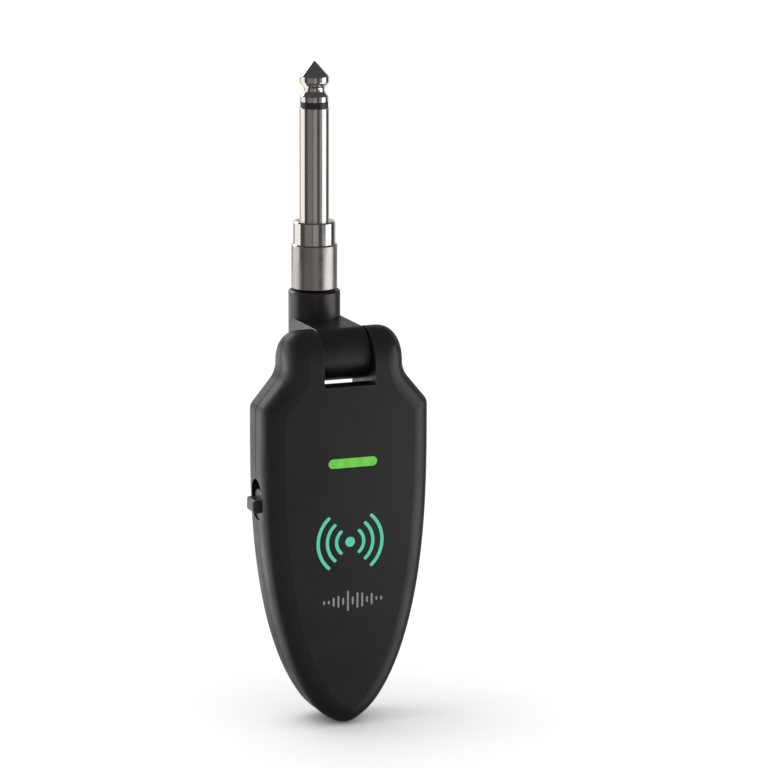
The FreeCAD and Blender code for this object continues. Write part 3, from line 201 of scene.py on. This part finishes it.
class Surface:
    """A Principled material and short ways to vary its sockets over the surface."""

    def __init__(self, name, colour, roughness, metallic=0.0, specular=0.5):
        self.material = bpy.data.materials.new(name)
        self.material.use_nodes = True
        self.nodes = self.material.node_tree.nodes
        self.links = self.material.node_tree.links
        self.shader = self.nodes["Principled BSDF"]
        self.shader.inputs["Base Color"].default_value = (*colour, 1.0)
        self.shader.inputs["Roughness"].default_value = roughness
        self.shader.inputs["Metallic"].default_value = metallic
        self.shader.inputs["Specular IOR Level"].default_value = specular
        self.place = self.nodes.new("ShaderNodeTexCoord").outputs["Object"]

    def noise(self, grain, detail=2.0, stretch=(1, 1, 1)):
        """Noise whose features are about grain long, squeezed along the axes by stretch."""
        squeeze = self.nodes.new("ShaderNodeMapping")
        squeeze.inputs["Scale"].default_value = stretch
        self.links.new(self.place, squeeze.inputs["Vector"])
        noise = self.nodes.new("ShaderNodeTexNoise")
        noise.inputs["Scale"].default_value = 1 / grain
        noise.inputs["Detail"].default_value = detail
        self.links.new(squeeze.outputs["Vector"], noise.inputs["Vector"])
        return noise.outputs["Fac"]

    def edges(self, width):
        """Near 1 on edges tighter than width, and 0 on flat or gently curved faces."""
        bevel = self.nodes.new("ShaderNodeBevel")
        bevel.samples = 4
        bevel.inputs["Radius"].default_value = width
        true = self.nodes.new("ShaderNodeNewGeometry")
        dot = self.nodes.new("ShaderNodeVectorMath")
        dot.operation = "DOT_PRODUCT"
        self.links.new(bevel.outputs["Normal"], dot.inputs[0])
        self.links.new(true.outputs["Normal"], dot.inputs[1])
        return self.spread(dot.outputs["Value"], 1.0, 0.0, 0.80, 0.99)

    def spread(self, factor, low, high, start=0.3, end=0.7):
        """Maps a factor's stretch from start to end onto low to high."""
        ramp = self.nodes.new("ShaderNodeMapRange")
        for socket, value in zip(("From Min", "From Max", "To Min", "To Max"),
                                 (start, end, low, high)):
            ramp.inputs[socket].default_value = value
        self.links.new(factor, ramp.inputs["Value"])
        return ramp.outputs["Result"]

    def times(self, first, second):
        """The product of two values, each a socket or a plain number."""
        product = self.nodes.new("ShaderNodeMath")
        product.operation = "MULTIPLY"
        for index, value in enumerate((first, second)):
            if isinstance(value, (int, float)):
                product.inputs[index].default_value = value
            else:
                self.links.new(value, product.inputs[index])
        return product.outputs["Value"]

    def vary_colour(self, factor, other):
        """Moves the colour so far towards another colour, by a factor from 0 to 1."""
        mix = self.nodes.new("ShaderNodeMix")
        mix.data_type = "RGBA"
        base = self.shader.inputs["Base Color"]
        colours = [socket for socket in mix.inputs if socket.type == "RGBA"]
        if base.is_linked:
            self.links.new(base.links[0].from_socket, colours[0])
        else:
            colours[0].default_value = base.default_value
        colours[1].default_value = (*other, 1.0)
        self.links.new(factor, mix.inputs["Factor"])
        result = [socket for socket in mix.outputs if socket.type == "RGBA"][0]
        self.links.new(result, base)

    def vary_roughness(self, factor, low, high):
        """Sets the roughness between low and high, by a factor from 0 to 1."""
        self.links.new(self.spread(factor, low, high), self.shader.inputs["Roughness"])

    def bump(self, height, depth, strength=1.0):
        """Adds relief of a real depth, on top of any relief so far."""
        relief = self.nodes.new("ShaderNodeBump")
        relief.inputs["Strength"].default_value = strength
        relief.inputs["Distance"].default_value = depth
        self.links.new(height, relief.inputs["Height"])
        normal = self.shader.inputs["Normal"]
        if normal.is_linked:
            self.links.new(normal.links[0].from_socket, relief.inputs["Normal"])
        self.links.new(relief.outputs["Normal"], normal)


def scaled(colour, share):
    """A colour made lighter or darker by one share."""
    return tuple(share * part for part in colour)


def moulded(name, colour, roughness, wear_and_highlight, grain=0.16 * MM, specular=0.5):
    """Spark-textured moulding: fine grain, faint flow marks, handling sheen, and edges lighter from
    rubbing and a painted highlight.
    """
    surface = Surface(name, colour, roughness, specular=specular)
    flow = surface.noise(FLOW_MARKS, detail=3.0)
    smudge = surface.noise(PLASTIC_SMUDGES, detail=4.0, stretch=(1, 1, 0.6))
    texture = surface.noise(grain, detail=3.0)
    surface.vary_colour(surface.spread(flow, 0.0, 1.0), scaled(colour, 1.35))
    # edges are paled towards the pale grey: partly rubbed wear, partly a painted edge highlight
    surface.vary_colour(surface.times(surface.edges(RUBBED_AND_HIGHLIGHT_WIDTH), RUBBED_AND_HIGHLIGHT_SHARE), wear_and_highlight)
    surface.vary_roughness(smudge, roughness - 0.06, roughness + 0.08)
    surface.bump(texture, PLASTIC_GRAIN_DEPTH, 0.5)
    return surface.material


def plated(name, colour, roughness, ring, scratch=0.12, smear=0.07):
    """Turned and plated metal: hair-fine turning rings, smears and a few light scratches."""
    surface = Surface(name, colour, roughness, metallic=1.0)
    rings = surface.noise(ring, detail=2.0, stretch=(0.05, 0.05, 1))
    streaks = surface.noise(PLATING_STREAKS, detail=4.0, stretch=(1, 1, 0.12))
    smears = surface.noise(PLATING_SMEARS, detail=3.0)
    scratched = surface.times(surface.spread(streaks, 0.0, 1.0, 0.45, 0.8), scratch)
    surface.vary_colour(scratched, scaled(colour, 0.72))
    surface.vary_roughness(smears, max(roughness - smear / 2, 0.03), roughness + smear)
    surface.bump(rings, TURNING_RING_DEPTH, 0.5)
    surface.bump(streaks, STREAK_DEPTH, 0.4)
    return surface.material


def brushed(name, colour, roughness, stretch=(1, 1, 0.03)):
    """Sheet or ground metal with a brushed grain."""
    surface = Surface(name, colour, roughness, metallic=1.0)
    grain = surface.noise(BRUSHED_GRAIN, detail=3.0, stretch=stretch)
    stain = surface.noise(3 * MM, detail=2.0)
    surface.vary_colour(surface.spread(stain, 0.0, 0.6), scaled(colour, 0.7))
    surface.vary_roughness(grain, roughness - 0.08, roughness + 0.1)
    surface.bump(grain, BRUSHED_DEPTH, 0.4)
    return surface.material


def soft(name, colour, roughness, grain, depth):
    """Rubber, foam, nylon or ceramic: an even body with a small grain."""
    surface = Surface(name, colour, roughness)
    texture = surface.noise(grain, detail=3.0)
    patch = surface.noise(6 * MM)
    surface.vary_colour(surface.spread(patch, 0.0, 0.5), scaled(colour, 0.75))
    surface.vary_roughness(texture, roughness - 0.08, roughness + 0.08)
    surface.bump(texture, depth, 0.5)
    return surface.material


def circuit_board(name, colour):
    """Solder mask over copper: a fine maze of slightly lighter, slightly raised tracks."""
    surface = Surface(name, colour, 0.35)
    cells = surface.nodes.new("ShaderNodeTexVoronoi")
    cells.distance = "CHEBYCHEV"
    cells.feature = "DISTANCE_TO_EDGE"
    cells.inputs["Scale"].default_value = 1 / TRACK_PITCH
    surface.links.new(surface.place, cells.inputs["Vector"])
    tracks = surface.spread(cells.outputs["Distance"], 1.0, 0.0, 0.04, 0.1)
    surface.vary_colour(tracks, scaled(colour, 2.2))
    surface.vary_roughness(surface.noise(2 * MM), 0.28, 0.42)
    surface.bump(tracks, TRACK_HEIGHT, 0.6)
    return surface.material


def lit_lens(name, colour):
    """Diffusing lens: brightest in front of its three lamps, a little dimmer between them."""
    surface = Surface(name, scaled(colour, 0.15), 0.3)
    wave = surface.nodes.new("ShaderNodeTexWave")
    wave.wave_profile = "SIN"
    wave.inputs["Scale"].default_value = 1 / LAMP_PITCH / (WAVE_TEXTURE_RATE / math.tau)
    wave.inputs["Distortion"].default_value = 0.0
    wave.inputs["Phase Offset"].default_value = math.pi / 2
    surface.links.new(surface.place, wave.inputs["Vector"])
    cloud = surface.noise(1.5 * MM, detail=3.0)
    lamps = surface.spread(wave.outputs["Fac"], 0.76, 0.9, 0.0, 1.0)
    brightness = surface.times(lamps, surface.spread(cloud, 0.97, 1.03))
    shader = surface.shader
    shader.inputs["Emission Color"].default_value = (*colour, 1.0)
    surface.links.new(brightness, shader.inputs["Emission Strength"])
    surface.vary_roughness(cloud, 0.25, 0.38)
    surface.bump(surface.noise(0.3 * MM), 0.01 * MM, 0.3)
    return surface.material


def printed(name, colour):
    """Pad-printed ink: even, matt, with a slight loss of cover in places."""
    surface = Surface(name, colour, 0.55, specular=0.3)
    cover = surface.noise(INK_GRAIN, detail=4.0)
    surface.vary_colour(surface.spread(cover, 0.0, 0.35, 0.45, 0.8), scaled(colour, 0.5))
    surface.vary_roughness(cover, 0.48, 0.62)
    surface.bump(cover, INK_DEPTH, 0.3)
    return surface.material


def paper(name, colour):
    """Matt studio paper with a barely visible fibre."""
    surface = Surface(name, colour, 0.7, specular=0.3)
    fibre = surface.noise(PAPER_FIBRE, detail=4.0)
    surface.vary_roughness(fibre, 0.6, 0.75)
    surface.bump(fibre, 0.02 * MM, 0.15)
    return surface.material


# one material for each of the record's slots, under the slot's name
materials = {
    "housing_plastic": moulded("housing_plastic", (0.007, 0.007, 0.0071), 0.42, EDGE_WEAR_AND_HIGHLIGHT, specular=0.55),
    "arm_plastic": moulded("arm_plastic", (0.0045, 0.0045, 0.0048), 0.36, EDGE_WEAR_AND_HIGHLIGHT, specular=0.8),
    "switch_plastic": moulded("switch_plastic", (0.014, 0.014, 0.014), 0.36, EDGE_WEAR_AND_HIGHLIGHT, grain=0.1 * MM),
    "light_green": lit_lens("light_green", LIGHT_GREEN),
    "port_steel": brushed("port_steel", (0.55, 0.55, 0.56), 0.3),
    "chip_black": moulded("chip_black", (0.02, 0.02, 0.02), 0.5, EDGE_WEAR_AND_HIGHLIGHT, grain=0.1 * MM),
    "screw_steel": brushed("screw_steel", (0.09, 0.09, 0.095), 0.35),
    "bush_bronze": brushed("bush_bronze", (0.5, 0.33, 0.14), 0.35, stretch=(0.05, 1, 1)),
    "washer_nylon": soft("washer_nylon", (0.75, 0.74, 0.7), 0.5, 0.2 * MM, 0.005 * MM),
    "battery_foil": brushed("battery_foil", (0.6, 0.6, 0.62), 0.38, stretch=(1, 1, 1)),
    "foam_grey": soft("foam_grey", (0.12, 0.12, 0.13), 0.9, 0.25 * MM, 0.05 * MM),
    "lead_red": soft("lead_red", (0.5, 0.03, 0.02), 0.45, 0.1 * MM, 0.004 * MM),
    "lead_black": soft("lead_black", (0.02, 0.02, 0.02), 0.45, 0.1 * MM, 0.004 * MM),
    "board_green": circuit_board("board_green", (0.01, 0.09, 0.04)),
    "can_tin": brushed("can_tin", (0.62, 0.62, 0.62), 0.3),
    "antenna_ceramic": soft("antenna_ceramic", (0.75, 0.74, 0.7), 0.4, 0.1 * MM, 0.003 * MM),
    "lamp_white": soft("lamp_white", (0.8, 0.85, 0.7), 0.25, 0.1 * MM, 0.002 * MM),
    "hinge_steel": brushed("hinge_steel", (0.45, 0.45, 0.46), 0.28, stretch=(0.05, 1, 1)),
    "collar_nickel": plated("collar_nickel", (0.52, 0.50, 0.48), 0.28, 0.12 * MM, scratch=0.5),
    "plug_nickel": plated("plug_nickel", (0.74, 0.71, 0.68), 0.09, 0.2 * MM),
    "insulator_black": soft("insulator_black", (0.012, 0.012, 0.012), 0.3, 0.2 * MM, 0.003 * MM),
    "terminal_brass": brushed("terminal_brass", (0.6, 0.45, 0.18), 0.3),
}
print_teal = printed("print_teal", TEAL)
print_grey = printed("print_grey", PRINT_GREY)
# the shadow in the gap round the lens is drawn as a line of matt black
gap_shadow_black = printed("gap_shadow_black", GAP_SHADOW_BLACK)
contact_gold = brushed("contact_gold", (0.83, 0.6, 0.25), 0.22, stretch=(1, 1, 1))

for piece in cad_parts.values():
    for material_slot in piece.material_slots:
        material_slot.material = materials[material_slot.material.name.split(".")[0]]


# ---- Pieces ----

def object_from(build, name, material):
    """Turns a bmesh into an object of the scene, in one material."""
    mesh = bpy.data.meshes.new(name)
    build.to_mesh(mesh)
    build.free()
    mesh.materials.append(material)
    made = bpy.data.objects.new(name, mesh)
    bpy.context.scene.collection.objects.link(made)
    return made


def flat_piece(name, outline_faces, place, facing, material):
    """A thin printed shape: faces as lists of (across, up), laid on a face that looks along Y."""
    build = bmesh.new()
    for outline in outline_faces:
        corners = [build.verts.new((across, 0, up)) for across, up in outline]
        build.faces.new(corners)
    bmesh.ops.remove_doubles(build, verts=build.verts, dist=0.001 * MM)
    bmesh.ops.recalc_face_normals(build, faces=build.faces)
    raised = bmesh.ops.extrude_face_region(build, geom=build.faces[:])
    for item in raised["geom"]:
        if isinstance(item, bmesh.types.BMVert):
            item.co.y += facing * PRINT_THICKNESS
    bmesh.ops.recalc_face_normals(build, faces=build.faces)
    piece = object_from(build, name, material)
    piece.location = place
    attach(piece, "housing")


def ribbon(points, width, closed=False):
    """Quads along a path of (across, up) points, with round ends unless it is closed."""
    line = [Vector(point) for point in points]
    count = len(line)
    half = width / 2
    rails = []
    for index, point in enumerate(line):
        before = line[index - 1] if index or closed else point
        after = line[(index + 1) % count] if index < count - 1 or closed else point
        way = (after - before).normalized()
        side = Vector((-way.y, way.x)) * half
        rails.append((point + side, point - side))
    faces = []
    for index in range(count if closed else count - 1):
        left, right = rails[index]
        next_left, next_right = rails[(index + 1) % count]
        faces.append([left, right, next_right, next_left])
    if not closed:
        for end, turn in ((0, 1), (-1, -1)):
            centre = line[end]
            spoke = rails[end][0] - centre
            face = []
            for step in range(ROUND_END_STEPS + 1):
                rotation = Matrix.Rotation(turn * math.pi * step / ROUND_END_STEPS, 2)
                face.append(centre + rotation @ spoke)
            faces.append(face)
    return [[tuple(corner) for corner in face] for face in faces]


def arc_points(radius, first, last, centre=(0.0, 0.0), steps=32):
    """Points of an arc between two angles, measured from the way across."""
    points = []
    for step in range(steps + 1):
        turn = first + (last - first) * step / steps
        points.append((centre[0] + radius * math.cos(turn), centre[1] + radius * math.sin(turn)))
    return points


front_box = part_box("front_shell")
ear_top = front_box[1].z
front_face = front_box[0].y
rear_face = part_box("rear_shell")[1].y


def link_symbol():
    """A dot with three pairs of arcs, the common sign for a radio link."""
    symbol = [arc_points(SYMBOL_DOT, 0, math.tau, steps=40)[:-1]]
    for radius in SYMBOL_RADII:
        for middle in (0, math.pi):
            arc = arc_points(radius, middle - SYMBOL_HALF_ANGLE, middle + SYMBOL_HALF_ANGLE)
            symbol += ribbon(arc, SYMBOL_STROKE)
    place = Vector((0, front_face, ear_top - SYMBOL_BELOW))
    flat_piece("link_symbol", symbol, place, -1, print_teal)


def sound_bars():
    """A row of upright bars, tall in the middle, as sound is often drawn."""
    bars = []
    for number in range(WAVE_BARS):
        share = number / (WAVE_BARS - 1)
        across = (share - 0.5) * (WAVE_WIDTH - WAVE_STROKE)
        ripple = 1 - WAVE_RIPPLE + WAVE_RIPPLE * math.cos(number * WAVE_RIPPLE_TURN)
        swell = math.sin(math.pi * share) * ripple
        reach = max(WAVE_HEIGHT * swell, WAVE_STROKE) / 2
        bars += ribbon([(across, -reach), (across, reach)], WAVE_STROKE)
    place = Vector((WAVE_ACROSS, front_face, ear_top - WAVE_BELOW))
    flat_piece("sound_bars", bars, place, -1, print_grey)


def lens_gap_shadow():
    """A painted shadow: a black hairline where the green lens meets the front shell, for the shade
    in the gap.
    """
    low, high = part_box("light_bar")
    middle = (low + high) / 2
    end_radius = LIGHT_HEIGHT / 2
    end_across = LIGHT_LENGTH / 2 - end_radius
    quarter = math.pi / 2
    path = arc_points(end_radius, -quarter, quarter, (end_across, 0), 16)
    path += arc_points(end_radius, quarter, 3 * quarter, (-end_across, 0), 16)
    place = Vector((middle.x, front_face, middle.z))
    flat_piece("lens_gap_shadow", ribbon(path, LIGHT_GAP_SHADOW, True), place, -1, gap_shadow_black)


def bout_half_width(share, half_width, middle, reach):
    """Half the width of one round bout at a share of the body's length, and 0 beyond it."""
    return half_width * math.sqrt(max(1 - ((share - middle) / reach) ** 2, 0))


def guitar_half_width(share):
    """Half the width of the guitar drawing's body at a share of its length from the tail."""
    lower = bout_half_width(share, *GUITAR_LOWER_BOUT)
    upper = bout_half_width(share, *GUITAR_UPPER_BOUT)
    half_width, middle, reach = GUITAR_WAIST
    waist = half_width * math.exp(-((share - middle) / reach) ** 2)
    return max(lower, upper, waist)


def guitar_lines():
    """Thin lines of a plain guitar, each with whether it closes: body, neck, head, bridge, ring."""
    right_side = []
    for step in range(GUITAR_BODY_STEPS + 1):
        share = 0.5 - 0.5 * math.cos(math.pi * step / GUITAR_BODY_STEPS)
        right_side.append((guitar_half_width(share), share * GUITAR_BODY_LENGTH))
    left_side = [(-across, up) for across, up in reversed(right_side[1:-1])]
    lines = [(right_side + left_side, True)]
    for across in (-GUITAR_NECK_HALF, GUITAR_NECK_HALF):
        lines.append(([(across, GUITAR_BODY_LENGTH), (across, GUITAR_NECK_END)], False))
    half_head = [(GUITAR_NECK_HALF, 0.0), GUITAR_HEAD_FOOT, GUITAR_HEAD_TOP]
    head = [(-across, GUITAR_NECK_END + up) for across, up in half_head]
    head += [(across, GUITAR_NECK_END + up) for across, up in reversed(half_head)]
    lines.append((head, False))
    bridge = [(side * GUITAR_BRIDGE_HALF, GUITAR_BRIDGE_UP) for side in (-1, 1)]
    lines.append((bridge, False))
    ring = arc_points(GUITAR_RING_RADIUS, 0, math.tau, (0, GUITAR_RING_UP), 24)[:-1]
    lines.append((ring, True))
    return lines


def guitar_drawing():
    """The plain guitar, leaning, on the rear face."""
    lean = Matrix.Rotation(-GUITAR_LEAN, 2)
    guitar = []
    for path, closed in guitar_lines():
        turned = [tuple(lean @ Vector((across, up - GUITAR_MIDDLE_UP))) for across, up in path]
        guitar += ribbon(turned, GUITAR_STROKE, closed)
    place = Vector((0, rear_face, ear_top - GUITAR_BELOW))
    flat_piece("guitar_drawing", guitar, place, 1, print_grey)


def port_contacts():
    """Gold strips on both sides of the port's tongue, in two rows that follow its slope."""
    low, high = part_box("port_tongue")
    centre = (low + high) / 2
    outward = Vector((math.cos(PORT_SLOPE), 0, math.sin(PORT_SLOPE)))
    along = Vector((math.sin(PORT_SLOPE), 0, -math.cos(PORT_SLOPE)))
    build = bmesh.new()
    for face in (-1, 1):
        for number in range(CONTACT_COUNT):
            offset = (number - (CONTACT_COUNT - 1) / 2) * CONTACT_PITCH
            middle = centre + along * offset + outward * CONTACT_OUTWARD
            middle.y = centre.y + face * (TONGUE_HALF_THICKNESS + CONTACT_THICKNESS / 2)
            made = bmesh.ops.create_cube(build, size=1.0)
            for vert in made["verts"]:
                step = vert.co.copy()
                vert.co = (middle + along * (step.x * CONTACT_WIDTH)
                           + outward * (step.z * CONTACT_LENGTH))
                vert.co.y += step.y * CONTACT_THICKNESS
    edges = build.edges[:]
    bmesh.ops.bevel(build, geom=edges, offset=CONTACT_BEVEL, segments=2, affect="EDGES")
    piece = object_from(build, "port_contacts", contact_gold)
    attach(piece, "housing")


link_symbol()
sound_bars()
lens_gap_shadow()
guitar_drawing()
port_contacts()


# ---- Studio ----

def make_floor():
    """A round pale floor that the tip of the housing just touches, left out of reflections."""
    build = bmesh.new()
    bmesh.ops.create_circle(build, cap_ends=True, segments=96, radius=FLOOR_RADIUS)
    floor = object_from(build, "floor", paper("floor_paper", FLOOR_GREY))
    floor.location.z = cad_box[0].z
    floor.visible_glossy = False


def glow(name, colour, strength):
    """A faintly uneven glowing cloth, as a lit studio card looks when it is mirrored."""
    material = bpy.data.materials.new(name)
    material.use_nodes = True
    nodes = material.node_tree.nodes
    links = material.node_tree.links
    nodes.remove(nodes["Principled BSDF"])
    emission = nodes.new("ShaderNodeEmission")
    emission.inputs["Color"].default_value = (*colour, 1.0)
    cloth = nodes.new("ShaderNodeTexNoise")
    cloth.inputs["Scale"].default_value = GLOW_CLOTH_SCALE
    uneven = nodes.new("ShaderNodeMapRange")
    uneven.inputs["To Min"].default_value = (1 - GLOW_UNEVENNESS) * strength
    uneven.inputs["To Max"].default_value = (1 + GLOW_UNEVENNESS) * strength
    links.new(cloth.outputs["Fac"], uneven.inputs["Value"])
    links.new(uneven.outputs["Result"], emission.inputs["Strength"])
    links.new(emission.outputs["Emission"], nodes["Material Output"].inputs["Surface"])
    return material


def card(name, first, last, strength, colour, low, high, radius):
    """A curved card around the object from one azimuth to another, seen only in reflections."""
    build = bmesh.new()
    steps = max(int((last - first) / CARD_STEP_DEGREES), 2)
    rails = []
    for step in range(steps + 1):
        turn = math.radians(first + (last - first) * step / steps)
        across = CAMERA_AIM.x + radius * math.sin(turn)
        deep = CAMERA_AIM.y - radius * math.cos(turn)
        rails.append([build.verts.new((across, deep, level)) for level in (low, high)])
    for (near_low, near_high), (far_low, far_high) in zip(rails, rails[1:]):
        build.faces.new((near_low, far_low, far_high, near_high))
    piece = object_from(build, name, glow(name, colour, strength))
    piece.visible_camera = False
    piece.visible_diffuse = False
    piece.visible_transmission = False
    piece.visible_shadow = False


def make_cards():
    for name, first, last, strength, colour, place in CARDS:
        card(name, first, last, strength, colour, *place)


def make_lights():
    """One wide, far light, high on the left, that shades the floor beside the tip."""
    lamp = bpy.data.lights.new("key", "SUN")
    lamp.energy = SUN_STRENGTH
    lamp.angle = SUN_SPREAD
    light = bpy.data.objects.new("key", lamp)
    light.rotation_euler = SUN_WAY.to_track_quat("Z", "Y").to_euler()
    light.visible_glossy = False
    bpy.context.scene.collection.objects.link(light)


def make_world():
    """White behind the floor, even light on matt surfaces, a dim room in shiny ones."""
    world = bpy.data.worlds.new("studio")
    world.use_nodes = True
    nodes = world.node_tree.nodes
    links = world.node_tree.links
    seen = nodes.new("ShaderNodeLightPath")
    dim = nodes.new("ShaderNodeMix")
    dim.inputs["A"].default_value = WORLD_LIGHT
    dim.inputs["B"].default_value = WORLD_MIRRORED
    links.new(seen.outputs["Is Glossy Ray"], dim.inputs["Factor"])
    white = nodes.new("ShaderNodeMix")
    white.inputs["B"].default_value = 1.0
    links.new(dim.outputs["Result"], white.inputs["A"])
    links.new(seen.outputs["Is Camera Ray"], white.inputs["Factor"])
    links.new(white.outputs["Result"], nodes["Background"].inputs["Strength"])
    nodes["Background"].inputs["Color"].default_value = (1, 1, 1, 1)
    bpy.context.scene.world = world


def make_camera():
    """The camera, turned by yaw and pitch, rolled, and set back from its aim."""
    forward = Vector((math.sin(CAMERA_YAW) * math.cos(CAMERA_PITCH),
                      math.cos(CAMERA_YAW) * math.cos(CAMERA_PITCH), -math.sin(CAMERA_PITCH)))
    right = Vector((math.cos(CAMERA_YAW), -math.sin(CAMERA_YAW), 0))
    up = right.cross(forward)
    rotation = Matrix((right, up, -forward)).transposed()
    roll = Matrix.Rotation(CAMERA_ROLL, 3, "Z")
    lens = bpy.data.cameras.new("camera")
    lens.lens = CAMERA_LENS_MM
    lens.sensor_width = CAMERA_SENSOR_MM
    lens.clip_start = CAMERA_NEAREST
    lens.clip_end = CAMERA_FARTHEST
    camera = bpy.data.objects.new("camera", lens)
    camera.matrix_world = (rotation @ roll).to_4x4()
    camera.location = CAMERA_AIM - forward * CAMERA_DISTANCE
    bpy.context.scene.collection.objects.link(camera)
    bpy.context.scene.camera = camera


make_floor()
make_cards()
make_lights()
make_world()
make_camera()
bpy.context.scene.view_settings.view_transform = "Standard"
